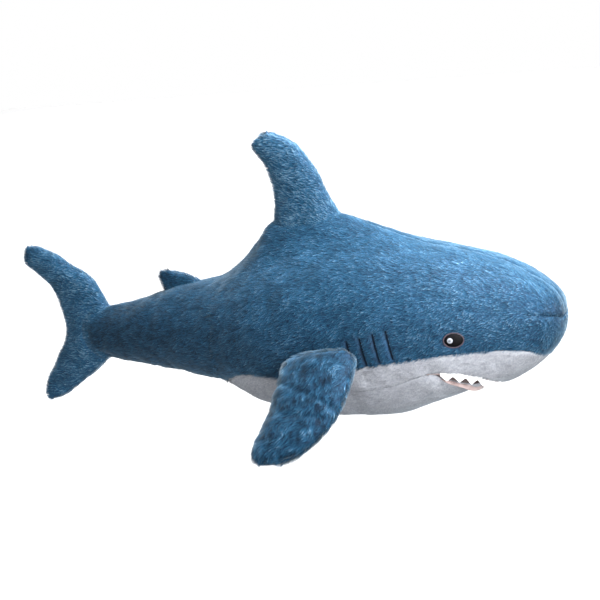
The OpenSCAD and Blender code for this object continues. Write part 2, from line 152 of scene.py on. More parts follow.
def curve(line, x):
    """Smooth curve through the points of line, held level past its ends."""
    xs, values = np.array(line, float).T
    x = np.clip(x, xs[0], xs[-1])
    i = np.clip(np.searchsorted(xs, x, "right") - 1, 0, len(xs) - 2)
    before = np.maximum(np.arange(len(xs)) - 1, 0)
    after = np.minimum(np.arange(len(xs)) + 1, len(xs) - 1)
    slopes = (values[after] - values[before]) / (xs[after] - xs[before])
    h = xs[i + 1] - xs[i]
    t = (x - xs[i]) / h
    from_left = (values[i] * (1 + 2 * t) + slopes[i] * h * t) * (1 - t) ** 2
    from_right = (values[i + 1] * (3 - 2 * t) + slopes[i + 1] * h * (t - 1)) * t**2
    return from_left + from_right


def closing(x, depth):
    """1 along the body, falling to 0 at the round nose and at the round end of the tail."""
    nose = np.clip((x - LIP_X) / (NOSE_X - depth - LIP_X), 0, 1)
    tail = np.clip((TAIL_CAP_X - x) / (TAIL_CAP_X - TAIL_END_X - depth), 0, 1)
    return ((1 - nose**CAP_POWER) ** (1 / CAP_POWER)
            * (1 - tail**TAIL_CAP_POWER) ** (1 / TAIL_CAP_POWER))


def end_z(x):
    """Height of the nose's or the tail's tip."""
    return np.where(x > 0, NOSE_Z, TAIL_Z)


def girth_z(x):
    """Height at which the section at x is widest."""
    return mix(end_z(x), curve(GIRTH_LINE, x), closing(x, 0))


def top_z(x, depth):
    return mix(end_z(x), curve(DOME_LINE, x) - depth, closing(x, depth))


def keel_z(x, depth):
    return mix(end_z(x), curve(KEEL_LINE, x) + depth, closing(x, depth))


def rounded(v):
    """A sine or cosine, bent to the section's slightly square shape."""
    return np.sign(v) * np.abs(v) ** (2 / SECTION_POWER)


def skin(x, angle, depth=0.0, side=RIGHT):
    """Point of the body at x, at an angle from the top, depth inside its outer surface."""
    x, angle = np.broadcast_arrays(np.asarray(x, float), np.asarray(angle, float))
    t = np.radians(angle)
    y = (curve(PLAN_LINE, x) - depth) * closing(x, depth) * rounded(np.sin(t))
    middle = girth_z(x)
    reach = np.where(t <= math.pi / 2, top_z(x, depth) - middle, middle - keel_z(x, depth))
    ridge = curve(RIDGE_LINE, x) * np.exp(-((y / RIDGE_SPREAD) ** 2))
    z = middle + reach * rounded(np.cos(t)) + np.where(t <= math.pi / 2, ridge, 0)
    return np.stack([x, side * y, np.maximum(z, depth + 0.4 * MM)], -1)


def angle_at(x, z):
    """Angle at which the section at x has height z."""
    middle = girth_z(x)
    above = z > middle
    reach = np.where(above, top_z(x, 0) - middle, middle - keel_z(x, 0))
    share = np.clip(np.abs(z - middle) / np.maximum(reach, 1e-6), 0, 1) ** (SECTION_POWER / 2)
    return np.where(above, np.degrees(np.arccos(share)), 90 + np.degrees(np.arcsin(share)))


def colour_angle(x):
    """Angle of the seam between the blue back and the white underside."""
    inside = (x > WHITE_START_X) & (x < WHITE_END_X)
    return np.where(inside, angle_at(x, curve(COLOUR_LINE, x)), 180)


def cheek_angle(x):
    """Angle of the seam or lip that ends the cheeks and the muzzle below."""
    cheek = np.where(x < CORNER_X, angle_at(x, curve(CHEEK_LINE, x)), angle_at(x, curve(LIP_LINE, x)))
    return np.where(x < CHEEK_START_X, colour_angle(x), np.where(x <= LIP_X, cheek, 180))


def rim_z(x):
    """Height of the lower jaw's rim."""
    return CORNER_Z - 3 * MM - (x - CORNER_X) * math.tan(math.radians(JAW_SLOPE))


COARSE = 4  # steps of an outer grid to one of the inner grid under it


def whole_quads(count):
    """Number of grid points near count that leaves a whole inner grid."""
    return COARSE * max(2, round(count / COARSE)) + 1


def even_stations(start, end, step):
    """x values from start to end, about a step apart along the surface."""
    nose = LIP_X + (NOSE_X - LIP_X) * np.sin(np.radians(np.linspace(0, 89.85, 300)))
    tail = TAIL_CAP_X - (TAIL_CAP_X - TAIL_END_X) * np.sin(np.radians(np.linspace(89.85, 0, 200)))
    fine = np.concatenate([tail, np.linspace(TAIL_CAP_X, LIP_X, 400)[1:-1], nose])
    fine = fine[(fine >= start) & (fine <= end)]
    runs = np.linalg.norm(np.diff(skin(fine, 75), axis=0), axis=1)
    length = np.concatenate([[0], np.cumsum(runs)])
    return np.interp(np.linspace(0, length[-1], whole_quads(length[-1] / step)), length, fine)


# ---- grids and relief

def grid_normals(points, fallback):
    """Unit normals of a grid, on the side that fallback points to."""
    n = np.cross(np.gradient(points, axis=0), np.gradient(points, axis=1))
    size = np.linalg.norm(n, axis=-1, keepdims=True)
    n = np.where(size > 1e-14, n / np.maximum(size, 1e-14), fallback)
    return n * np.where((n * fallback).sum(-1).mean() < 0, -1, 1)


def run_lengths(points, axis):
    """Distance along each grid line from its first point."""
    steps = np.linalg.norm(np.diff(points, axis=axis), axis=-1)
    first = np.zeros_like(steps.take([0], axis=axis))
    return np.concatenate([first, np.cumsum(steps, axis=axis)], axis=axis)


def tufts(along, across, length, width, seed):
    """Relief of combed tufts from 0 to 1: each rises along the comb and drops at its tip."""
    rng = np.random.default_rng(seed)
    shift_u, shift_v, size = rng.random((3, 128, 128))
    u, v = along / length, across / width
    relief = np.zeros_like(u)
    for du in (-1, 0, 1):
        for dv in (-1, 0, 1):
            i, j = np.floor(u).astype(int) + du, np.floor(v).astype(int) + dv
            pick = (i % 128, j % 128)
            a, b = u - i - shift_u[pick], v - j - shift_v[pick]
            rise = np.clip((a + 1.0) / 1.3, 0, 1) * np.clip((0.75 - a) / 0.45, 0, 1)
            crown = np.clip(1 - (b / 0.85) ** 2, 0, 1)
            relief = np.maximum(relief, rise * crown * mix(0.45, 1, size[pick]))
    return relief


def soft_noise(points, scale, seed):
    """Smooth random field over 3-D points, about -1 to 1, with features about scale wide."""
    rng = np.random.default_rng(seed)
    waves = rng.normal(size=(24, 3)) * (2.2 / scale)
    phases = rng.random(24) * 2 * math.pi
    total = sum(np.sin(points @ wave + phase) for wave, phase in zip(waves, phases))
    return total / math.sqrt(24)


def groove(distance, depth, width):
    """A rounded dip of a given depth, at a distance from its line."""
    return -depth * np.exp(-((distance / width) ** 2))


def line_distance(points, line):
    """Distance of each grid point from a polyline."""
    best = np.full(points.shape[:-1], 1.0)
    for a, b in zip(line[:-1], line[1:]):
        run = b - a
        share = np.clip((points - a) @ run / (run @ run), 0, 1)
        best = np.minimum(best, np.linalg.norm(points - a - share[..., None] * run, axis=-1))
    return best


# ---- meshes

def grid_quads(rows, columns, start=0):
    """Faces of a rows by columns grid whose first vertex is start."""
    i, j = np.meshgrid(np.arange(rows - 1), np.arange(columns - 1), indexing="ij")
    a = (start + i * columns + j).ravel()
    return np.stack([a, a + columns, a + columns + 1, a + 1], 1)


def border(rows, columns, start=0):
    """Vertices round a grid's edge, in order."""
    grid = start + np.arange(rows * columns).reshape(rows, columns)
    return np.concatenate([grid[0, :-1], grid[:-1, -1], grid[-1, :0:-1], grid[:0:-1, 0]])


def add_mesh(name, vertices, faces, material, attributes=None):
    """A smooth-shaded mesh object."""
    mesh = bpy.data.meshes.new(name)
    mesh.from_pydata(vertices.tolist(), [], [list(map(int, f)) for f in faces])
    mesh.materials.append(material)
    mesh.polygons.foreach_set("use_smooth", np.ones(len(mesh.polygons), bool))
    for label, values in (attributes or {}).items():
        kind = "FLOAT_VECTOR" if values.ndim == 2 else "FLOAT"
        data = mesh.attributes.new(label, kind, "POINT").data
        data.foreach_set("vector" if values.ndim == 2 else "value", values.astype(np.float32).ravel())
    mesh.update()
    piece = bpy.data.objects.new(name, mesh)
    bpy.context.scene.collection.objects.link(piece)
    return piece


def fabric_sheet(name, outer, inner, material, outward, attributes=None, ratio=COARSE):
    """A closed sheet: a fine outer grid, a coarser inner grid and the edge between them."""
    rows, columns = outer.shape[:2]
    inner_rows, inner_columns = inner.shape[:2]
    offset = rows * columns
    faces = list(grid_quads(rows, columns))
    faces += [f[::-1] for f in grid_quads(inner_rows, inner_columns, offset)]
    around = border(rows, columns)
    inside = border(inner_rows, inner_columns, offset)
    for k in range(len(inside)):
        a, b = inside[k], inside[(k + 1) % len(inside)]
        run = [around[(k * ratio + m) % len(around)] for m in range(ratio + 1)]
        faces.append([a, *run, b])
    vertices = np.concatenate([outer.reshape(-1, 3), inner.reshape(-1, 3)])
    a, b, _, d = faces[len(faces) // 3]
    turn = np.cross(vertices[b] - vertices[a], vertices[d] - vertices[a])
    middle = outward.reshape(-1, 3)[a] if outward.ndim > 1 else outward
    if turn @ middle < 0:
        faces = [f[::-1] for f in faces]
    filled = {}
    for label, values in (attributes or {}).items():
        flat = values.reshape(offset, *values.shape[2:])
        filled[label] = np.concatenate([flat, np.zeros((len(vertices) - offset, *flat.shape[1:]))])
    return add_mesh(name, vertices, faces, material, filled)


# ---- materials

def new_material(name):
    """A material and its empty node tree."""
    material = bpy.data.materials.new(name)
    material.use_nodes = True
    material.node_tree.nodes.clear()
    return material, material.node_tree


def make(tree, kind, inputs=None, **settings):
    """A node with its settings, and inputs given as values or as sockets."""
    node = tree.nodes.new(kind)
    for key, value in settings.items():
        setattr(node, key, value)
    for key, value in (inputs or {}).items():
        socket = node.inputs[key]
        if isinstance(value, bpy.types.NodeSocket):
            tree.links.new(value, socket)
        else:
            socket.default_value = value
    return node


def surface(tree, inputs):
    """The surface shader, with inputs given as for make."""
    shader = make(tree, "ShaderNodeBsdfPrincipled", inputs)
    make(tree, "ShaderNodeOutputMaterial", {"Surface": shader.outputs["BSDF"]})


def ramp(tree, factor, *stops):
    """Colour ramp over stops of (position, linear colour)."""
    node = make(tree, "ShaderNodeValToRGB", {"Fac": factor})
    elements = node.color_ramp.elements
    while len(elements) < len(stops):
        elements.new(0.5)
    for element, (position, colour) in zip(elements, stops):
        element.position = position
        element.color = (*colour, 1)
    return node.outputs["Color"]


def noise(tree, scale, detail, stretch=None):
    """Noise over the piece's own coordinates, which may be stretched along each axis."""
    where = make(tree, "ShaderNodeTexCoord").outputs["Object"]
    if stretch:
        where = make(tree, "ShaderNodeMapping", {"Vector": where, "Scale": stretch}).outputs["Vector"]
    node = make(tree, "ShaderNodeTexNoise", {"Vector": where, "Scale": scale, "Detail": detail})
    return node.outputs["Fac"]


def bump(tree, height, strength, distance):
    node = make(tree, "ShaderNodeBump", {"Height": height, "Strength": strength, "Distance": distance})
    return node.outputs["Normal"]


def linear(red, green, blue):
    """Linear colour of an 8-bit display colour."""
    def channel(v):
        v = v / 255
        return v / 12.92 if v <= 0.04045 else ((v + 0.055) / 1.055) ** 2.4
    return tuple(channel(v) for v in (red, green, blue))


def backing_material(name, dark, light, sheen):
    """Knitted backing under a pile: mottled, with a fine combed grain."""
    material, tree = new_material(name)
    streaks = noise(tree, 1.0, 3, (60, 260, 200))
    both = make(tree, "ShaderNodeMath", {0: streaks, 1: noise(tree, 22, 4), 2: 0.12},
                operation="MULTIPLY_ADD")
    surface(tree, {"Base Color": ramp(tree, both.outputs[0], (0.2, dark), (0.62, light)),
                   "Roughness": 0.9, "Sheen Weight": sheen, "Sheen Roughness": 0.45,
                   "Normal": bump(tree, streaks, 0.7, 1.2 * MM)})
    return material


def pile_material(name, root, middle, tip, sheen):
    """Fibres painted darker at the root, as shade deep in the pile, and paler at the tip, as painted sheen,
    with a tone of their own, lit as the surface that they cover.
    """
    material, tree = new_material(name)
    tone = make(tree, "ShaderNodeAttribute", attribute_name="tone").outputs["Fac"]
    height = make(tree, "ShaderNodeHairInfo").outputs["Intercept"]
    lift = make(tree, "ShaderNodeMath", {0: height, 1: 0.55, 2: tone}, operation="MULTIPLY_ADD")
    facing = make(tree, "ShaderNodeAttribute", attribute_name="facing").outputs["Vector"]
    surface(tree, {"Base Color": ramp(tree, lift.outputs[0], (0.1, root), (0.62, middle), (1.0, tip)),
                   "Normal": facing, "Roughness": 0.6, "Specular IOR Level": 0.12,
                   "Sheen Weight": sheen, "Sheen Roughness": 0.4, "Sheen Tint": (0.70, 0.88, 1.0, 1)})
    return material


def cloth_material(name, dark, light, scale, bump_mm, sheen=0.2):
    """Felted or woven cloth: mottled colour with a fibrous bump."""
    material, tree = new_material(name)
    fibres = noise(tree, scale, 6)
    both = make(tree, "ShaderNodeMath", {0: fibres, 1: noise(tree, scale / 9, 3)}, operation="ADD")
    surface(tree, {"Base Color": ramp(tree, both.outputs[0], (0.75, dark), (1.2, light)),
                   "Roughness": 0.85, "Sheen Weight": sheen,
                   "Normal": bump(tree, fibres, 0.8, bump_mm * MM)})
    return material


def thread_material(name, dark, light, roughness=0.45, gloss=0.4):
    """Embroidery thread: fine bright and dark strands with a soft gloss."""
    material, tree = new_material(name)
    strands = noise(tree, 1.0, 2, (1600, 900, 500))
    surface(tree, {"Base Color": ramp(tree, strands, (0.3, dark), (0.7, light)),
                   "Roughness": roughness, "Specular IOR Level": gloss,
                   "Normal": bump(tree, strands, 0.5, 0.2 * MM)})
    return material


BLUE_BACKING = backing_material("blue_backing", linear(8, 32, 54), linear(30, 76, 114), 0.15)
WHITE_BACKING = backing_material("white_backing", linear(134, 136, 143), linear(173, 177, 184), 0.2)
# Each pile's dark root colour is painted shade and its pale tip colour is painted sheen.
BLUE_PILE = pile_material("blue_pile", linear(4, 26, 44), linear(38, 88, 122), linear(138, 176, 200), 0.42)
WHITE_PILE = pile_material("white_pile", linear(122, 124, 131), linear(163, 167, 174),
                           linear(196, 200, 208), 0.2)
FELT = cloth_material("white_felt", linear(224, 222, 224), linear(250, 249, 250), 900, 0.5)
LINING = cloth_material("pink_lining", linear(100, 82, 80), linear(156, 138, 136), 700, 0.6, 0.35)
BLACK_THREAD = thread_material("black_thread", linear(2, 2, 4), linear(14, 13, 16), 0.55, 0.12)
TAN_THREAD = thread_material("tan_thread", linear(48, 42, 50), linear(92, 80, 88), 0.7, 0.2)
WHITE_THREAD = thread_material("white_thread", linear(112, 116, 126), linear(160, 164, 172))
GREY_THREAD = thread_material("grey_thread", linear(52, 56, 66), linear(100, 104, 114))
NAVY_THREAD = thread_material("navy_thread", linear(3, 8, 16), linear(12, 26, 42), 0.8, 0.1)


# ---- pile

def pile_group(name, material, length, density, radius, clump, seed):
    """Node group that grows combed fibres on a skin, as long as its attribute pile says. density is
    fibres per square metre, and clump is the width of the locks that they gather in."""
    tree = bpy.data.node_groups.new(name, "GeometryNodeTree")
    tree.interface.new_socket("Geometry", in_out="INPUT", socket_type="NodeSocketGeometry")
    for label in ("Skin", "Near body", "Far body"):
        tree.interface.new_socket(label, in_out="INPUT", socket_type="NodeSocketObject")
    tree.interface.new_socket("Geometry", in_out="OUTPUT", socket_type="NodeSocketGeometry")
    given = make(tree, "NodeGroupInput").outputs

    def look_at(label):
        node = make(tree, "GeometryNodeObjectInfo", {"Object": given[label]}, transform_space="RELATIVE")
        return node.outputs

    def read(label, kind="FLOAT_VECTOR"):
        node = make(tree, "GeometryNodeInputNamedAttribute", {"Name": label}, data_type=kind)
        return node.outputs["Attribute"]

    def store(geometry, label, value, kind="FLOAT_VECTOR"):
        node = make(tree, "GeometryNodeStoreNamedAttribute",
                    {"Geometry": geometry, "Name": label, "Value": value}, data_type=kind)
        return node.outputs["Geometry"]

    def vector(operation, a, b=None, scale=None):
        inputs = {0: a, 1: b} if scale is None else {0: a, "Scale": scale}
        node = make(tree, "ShaderNodeVectorMath", inputs, operation=operation)
        return node.outputs["Value" if operation == "DOT_PRODUCT" else "Vector"]

    def number(operation, a, b, c=0.0):
        return make(tree, "ShaderNodeMath", {0: a, 1: b, 2: c}, operation=operation).outputs[0]

    def chance(low, high, salt):
        node = make(tree, "FunctionNodeRandomValue", {"Min": low, "Max": high, "Seed": seed + salt},
                    data_type="FLOAT")
        return node.outputs["Value"]

    grows = number("GREATER_THAN", read("pile", "FLOAT"), 0.3)
    scatter = make(tree, "GeometryNodeDistributePointsOnFaces",
                   {"Mesh": look_at("Skin")["Geometry"], "Density": number("MULTIPLY", grows, density),
                    "Seed": seed})
    place = make(tree, "GeometryNodeInputPosition").outputs["Position"]
    cell = make(tree, "ShaderNodeTexVoronoi", {"Vector": place, "Scale": 1 / clump})
    centre = cell.outputs["Position"]
    lock_tone, patch_tone = (
        make(tree, "ShaderNodeTexNoise", {"Vector": centre, "Scale": size}).outputs["Fac"]
        for size in (240.0, 45.0)
    )
    tone = number("MULTIPLY_ADD", lock_tone, 0.8, number("MULTIPLY_ADD", patch_tone, 0.35, -0.495))
    points = store(scatter.outputs["Points"], "facing", scatter.outputs["Normal"])
    points = store(points, "root", place)
    across = vector("SUBTRACT", centre, place)
    flat = vector("SUBTRACT", across,
                  vector("SCALE", read("facing"), scale=vector("DOT_PRODUCT", across, read("facing"))))
    points = store(points, "gather", flat)
    near, far = (make(tree, "FunctionNodeTransformDirection",
                      {"Direction": read("comb"), "Transform": look_at(label)["Transform"]}).outputs[0]
                 for label in ("Near body", "Far body"))
    turn = vector("SCALE", vector("SUBTRACT", far, near), scale=read("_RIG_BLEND", "FLOAT"))
    points = store(points, "comb", vector("ADD", near, turn))
    # The skin's shade attribute is painted light and shade, added to each fibre's random tone.
    own_tone = number("ADD", read("shade", "FLOAT"), chance(-0.16, 0.16, 1))
    points = store(points, "tone", number("ADD", tone, own_tone), "FLOAT")
    own_length = number("MULTIPLY", read("pile", "FLOAT"), chance(0.7 * length, 1.1 * length, 2))
    points = store(points, "reach", own_length, "FLOAT")

    strand = make(tree, "GeometryNodeCurvePrimitiveLine").outputs["Curve"]
    strand = make(tree, "GeometryNodeResampleCurve", {"Curve": strand, "Count": 4}).outputs["Curve"]
    placed = make(tree, "GeometryNodeInstanceOnPoints", {"Points": points, "Instance": strand})
    fibres = make(tree, "GeometryNodeRealizeInstances", {"Geometry": placed.outputs["Instances"]})
    share = make(tree, "GeometryNodeSplineParameter").outputs["Factor"]
    curl = number("MULTIPLY", share, share)
    rise, lean = (
        number("MULTIPLY", number("MULTIPLY_ADD", curl, bent, number("MULTIPLY", share, straight)),
               read("reach", "FLOAT"))
        for straight, bent in ((0.85, -0.35), (0.45, 0.6))
    )
    point = vector("ADD", read("root"), vector("SCALE", read("facing"), scale=rise))
    point = vector("ADD", point, vector("SCALE", read("comb"), scale=lean))
    point = vector("ADD", point, vector("SCALE", read("gather"), scale=number("MULTIPLY", curl, 0.75)))
    fibres = make(tree, "GeometryNodeSetPosition",
                  {"Geometry": fibres.outputs["Geometry"], "Position": point})
    width = number("MULTIPLY", number("MULTIPLY_ADD", share, -0.75, 1.0), radius)
    fibres = make(tree, "GeometryNodeSetCurveRadius", {"Curve": fibres.outputs["Geometry"], "Radius": width})
    fibres = make(tree, "GeometryNodeSetMaterial",
                  {"Geometry": fibres.outputs["Curve"], "Material": material})
    make(tree, "NodeGroupOutput", {"Geometry": fibres.outputs["Geometry"]})
    return tree


BLUE_LENGTH, WHITE_LENGTH = 7 * MM, 4 * MM
BLUE_PILE_GROUP = pile_group("blue_pile", BLUE_PILE, BLUE_LENGTH, 560000, 0.27 * MM, 3.3 * MM, 11)
WHITE_PILE_GROUP = pile_group("white_pile", WHITE_PILE, WHITE_LENGTH, 350000, 0.28 * MM, 3.2 * MM, 23)


def grow(skin_piece, group):
    """Fibres on a finished skin. They read its mesh, so they bend with it."""
    name = f"{skin_piece.name}_pile"
    fibres = bpy.data.objects.new(name, bpy.data.hair_curves.new(name))
    bpy.context.scene.collection.objects.link(fibres)
    modifier = fibres.modifiers.new("pile", "NODES")
    modifier.node_group = group
    near, far = (frame["bodies"][body_of(skin_piece)[end]] for end in (0, -1))
    given = {"Skin": skin_piece, "Near body": near, "Far body": far}
    for socket in group.interface.items_tree:
        if socket.name in given:
            modifier[socket.identifier] = given[socket.name]


# ---- stuffing pressure

PRESSURE, LAST_FRAME, BLUR_PASSES = 4.0, 20, 16
SHAKE = 0.3 * MM


def swelling(base, normals, most):
    """How far stuffing pressure pushes a sheet out, up to most. A coarse copy of the sheet, held
    along its seams, is simulated as cloth. Its points are shaken a little first, because the
    solver stops at a spring of no length, and a grid may close to a point."""
    coarse = base[::COARSE, ::COARSE]
    outward = normals[::COARSE, ::COARSE]
    rows, columns = coarse.shape[:2]
    coarse = coarse + np.random.default_rng(5).normal(0, SHAKE, coarse.shape)
    vertices = coarse.reshape(-1, 3)
    faces = grid_quads(rows, columns)
    a, b, _, d = vertices[faces.T]
    if (np.cross(b - a, d - a) * outward[:-1, :-1].reshape(-1, 3)).sum() < 0:
        faces = faces[:, ::-1]
    bag = add_mesh("swelling_sheet", vertices, faces, BLUE_BACKING)
    seams = bag.vertex_groups.new(name="seams")
    seams.add(border(rows, columns).tolist(), 1.0, "REPLACE")
    cloth = bag.modifiers.new("pressure", "CLOTH")
    settings = cloth.settings
    settings.vertex_group_mass = "seams"
    settings.use_pressure = True
    settings.uniform_pressure_force = PRESSURE
    settings.mass = 0.2
    settings.shrink_min = -0.012
    settings.bending_stiffness = 0.3
    settings.effector_weights.gravity = 0
    cloth.collision_settings.use_collision = False
    cloth.point_cache.frame_start = 1
    cloth.point_cache.frame_end = LAST_FRAME
    for step in range(1, LAST_FRAME + 1):
        bpy.context.scene.frame_set(step)
    moved = np.empty(rows * columns * 3)
    result = bag.evaluated_get(bpy.context.evaluated_depsgraph_get())
    result.data.vertices.foreach_get("co", moved)
    bpy.data.objects.remove(bag)
    bpy.context.scene.frame_set(1)
    push = ((moved.reshape(coarse.shape) - coarse) * outward).sum(-1)
    push = most * np.tanh(np.nan_to_num(push) / most)
    down, across = (np.arange(size) / COARSE for size in base.shape[:2])
    wide = np.array([np.interp(across, np.arange(columns), row) for row in push])
    fine = np.array([np.interp(down, np.arange(rows), line) for line in wide.T]).T
    for _ in range(BLUR_PASSES):
        fine[1:-1] = (fine[:-2] + 2 * fine[1:-1] + fine[2:]) / 4
        fine[:, 1:-1] = (fine[:, :-2] + 2 * fine[:, 1:-1] + fine[:, 2:]) / 4
    return fine


# ---- plush skins

BLUE_DEPTH, WHITE_DEPTH = 3.2 * MM, 1.8 * MM
BACKING = 1.5 * MM
USUAL_STRAY = 0.3
# The pile is shorter on the head. Its tone is painted darker on the tail, as painted shade, and
# lighter on the head, as painted light. Each change comes in over a span of x.
HEAD_PILE, HEAD_PILE_SPAN = 0.75, (0.10, 0.36)
TAIL_PAINTED_SHADE, TAIL_PAINTED_SHADE_SPAN = -0.12, (-0.32, 0.05)
HEAD_PAINTED_LIGHT, HEAD_PAINTED_LIGHT_SPAN = 0.09, (0.15, 0.40)
PLUSH = {
    "blue": {"backing": BLUE_BACKING, "group": BLUE_PILE_GROUP,
             "tuft": (10 * MM, 5.5 * MM), "relief": 1.3 * MM},
    "white": {"backing": WHITE_BACKING, "group": WHITE_PILE_GROUP,
              "tuft": (6 * MM, 4.5 * MM), "relief": 0.6 * MM},
}


def plush_sheet(name, base, outward, comb, colour, seed, seams="", dips=None, bald=None,
                wrinkle=0.8 * MM, seam_depth=1.2 * MM, most=4 * MM, slack=1.0, stray=USUAL_STRAY,
                shag=1.0, shade=0.0):
    """A sewn sheet of plush over the grid base. comb is the way the pile lies, seams lists the
    grid's sewn edges out of "first last low high", dips is extra relief, and bald is 1 where no
    pile grows. most caps the swelling and slack scales it, wrinkle and seam_depth are heights,
    stray is how far locks turn aside, shag is the pile's length as a share of the usual one,
    and shade is painted shading that makes the pile's colour lighter or darker."""
    kind = PLUSH[colour]
    normals = grid_normals(base, outward)
    along = run_lengths(base, 0)
    across = run_lengths(base, 1)
    tangent = unit(comb - (comb * normals).sum(-1, keepdims=True) * normals)
    edges = {"first": along, "last": along[-1] - along, "low": across, "high": across[:, -1:] - across}
    height = swelling(base, normals, most) * slack
    height = height + wrinkle * soft_noise(base, 45 * MM, seed)
    height = height + 0.5 * wrinkle * soft_noise(base, 18 * MM, seed + 1)
    for edge in seams.split():
        height = height + groove(edges[edge], seam_depth, 4 * MM)
    if dips is not None:
        height = height + dips
    smooth = base + height[..., None] * normals
    lie = unit(tangent.reshape(-1, 3).mean(0))
    side_way = np.cross(normals, tangent)
    tangent = unit(tangent + stray * soft_noise(base, 16 * MM, seed + 3)[..., None] * side_way)
    shares = [np.abs((side_way * np.gradient(base, axis=k)).sum(-1)).mean() for k in (0, 1)]
    sideways = across if shares[1] > shares[0] else along
    relief = kind["relief"] * tufts((base * lie).sum(-1), sideways, *kind["tuft"], seed)
    x = base[..., 0]
    pile = shag * mix(1, HEAD_PILE, smooth_step(*HEAD_PILE_SPAN, x))
    # Painted shade darkens the tail's pile and painted light lightens the head's, added to the painted
    # shading that each piece is given.
    tone = shade + mix(TAIL_PAINTED_SHADE, 0.0, smooth_step(*TAIL_PAINTED_SHADE_SPAN, x))
    tone = tone + HEAD_PAINTED_LIGHT * smooth_step(*HEAD_PAINTED_LIGHT_SPAN, x)
    tone = tone + 0.5 * (stray - USUAL_STRAY) * soft_noise(base, 8 * MM, seed + 5)
    if bald is not None:
        pile = pile * (1 - bald)
        relief = relief * (1 - bald)
    outer = smooth + relief[..., None] * normals + 0.6 * relief[..., None] * tangent
    outer[..., 2] = np.maximum(outer[..., 2], 0.4 * MM)
    inner = (smooth - BACKING * normals)[::COARSE, ::COARSE]
    inner[..., 2] = np.maximum(inner[..., 2], 0.8 * MM)
    piece = fabric_sheet(name, outer, inner, kind["backing"], normals,
                         {"comb": tangent, "pile": pile, "shade": tone})
    piece["plush"] = colour
    return piece


def stuffed(piece, slot, fill, *nodes):
    """Hides the nodes that a finished stuffed piece stands for. Its slot and fill, what it is made of, are
    not used.
    """
    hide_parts(*nodes)


def sewn_on(piece, slot, *nodes):
    """Attaches a finished piece to the body and hides its nodes. Its slot, what it is made of, is not used.
    """
    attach(piece, "body")
    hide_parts(*nodes)


def swept_back(base):
    """The lie of the body's pile: rearwards, and down the sides."""
    down = np.clip(np.abs(base[..., 1]) / 0.12, 0, 1)
    return np.stack([-np.ones_like(down), np.zeros_like(down), -0.45 * down], -1)


def body_grid(xs, low, high, step, depth, side):
    """Grid on the body between two angles at each station."""
    arcs = run_lengths(skin(xs[:, None], mix(low[:, None], high[:, None], np.linspace(0, 1, 40)), depth), 1)
    share = np.linspace(0, 1, whole_quads(arcs[:, -1].max() / step))
    return skin(xs[:, None], mix(low[:, None], high[:, None], share), depth, side)


def outwards(base):
    """Rough outward directions of the body's surface."""
    centre = np.stack([np.clip(base[..., 0], -0.3, 0.4), 0 * base[..., 1], 0 * base[..., 2] + 0.14], -1)
    return unit(base - centre)


def on_skin(x, z, lift, side):
    """Point of the body at x and z, lift above its surface."""
    return skin(x, angle_at(np.asarray(x, float), np.asarray(z, float)), -lift, side)


EYE_X, EYE_Z, EYE_W, EYE_H = 0.350, 0.158, 0.0305, 0.0235
EYE_MARGIN = 1.4 * MM
# (x, height) of the ends of the rear-most and of the front-most gill.
GILL_TOPS = [(0.179, 0.162), (0.245, 0.178)]
GILL_FEET = [(0.188, 0.116), (0.254, 0.130)]
GILL_COUNT = 4
DART_ANGLE = 70


def gill_line(i, side, lift):
    """Points down gill i, lift above the surface. Gill 0 is the rear-most."""
    u = i / (GILL_COUNT - 1)
    top, foot = (mix(np.array(ends[0]), np.array(ends[1]), u) for ends in (GILL_TOPS, GILL_FEET))
    places = mix(top, foot, np.linspace(0, 1, 17)[:, None])
    return on_skin(places[:, 0], places[:, 1], lift, side)


def dart_line(lift):
    """The dart seam, from the right side round the nose to the left."""
    a = np.radians(np.linspace(34, 88, 24))
    right = skin(LIP_X + (NOSE_X + lift - LIP_X) * np.sin(a), DART_ANGLE, -lift, RIGHT)
    return np.concatenate([right, right[::-1] * mirror(LEFT)])


def back_skin(name, side):
    """Blue plush from the nose over the back to the tail fin."""
    xs = even_stations(TAIL_END_X, NOSE_X, 2.0 * MM)
    base = body_grid(xs, 0 * xs, colour_angle(xs), 2.0 * MM, BLUE_DEPTH, side)
    dips = np.zeros(base.shape[:2])
    bald = np.zeros(base.shape[:2])
    for i in range(GILL_COUNT):
        away = line_distance(base, gill_line(i, side, -BLUE_DEPTH))
        dips += groove(away, 2.6 * MM, 4 * MM)
        ahead = line_distance(base, gill_line(i, side, -BLUE_DEPTH) + np.array([2.5 * MM, 0, 0]))
        bald = np.maximum(bald, np.exp(-((away / (3.0 * MM)) ** 4)))
        bald = np.maximum(bald, 0.6 * np.exp(-((ahead / (4.5 * MM)) ** 4)))
    away = line_distance(base, dart_line(-BLUE_DEPTH))
    dips += groove(away, 1.8 * MM, 3.5 * MM)
    bald = np.maximum(bald, 0.8 * np.exp(-((away / (1.2 * MM)) ** 4)))
    from_eye = np.hypot((base[..., 0] - EYE_X) / (EYE_W / 2 + EYE_MARGIN),
                        (base[..., 2] - EYE_Z) / (EYE_H / 2 + EYE_MARGIN))
    dips += -1.6 * MM * np.clip(1.5 - from_eye, 0, 0.5) * 2
    bald = np.maximum(bald, (from_eye < 1).astype(float))
    behind_gills = 1 - smooth_step(0.08, 0.15, base[..., 0])
    return plush_sheet(name, base, outwards(base), swept_back(base), "blue", 31 if side == RIGHT else 32,
                       "low high", dips, bald, most=2.5 * MM, slack=behind_gills)


def muzzle_skin(name, side):
    """White plush of the cheek and the underside of the snout."""
    xs = even_stations(CHEEK_START_X + 2 * MM, WHITE_END_X - 2 * MM, 2.2 * MM)
    base = body_grid(xs, colour_angle(xs), cheek_angle(xs), 2.2 * MM, WHITE_DEPTH, side)
    return plush_sheet(name, base, outwards(base), swept_back(base), "white", 41 if side == RIGHT else 42,
                       "low high")


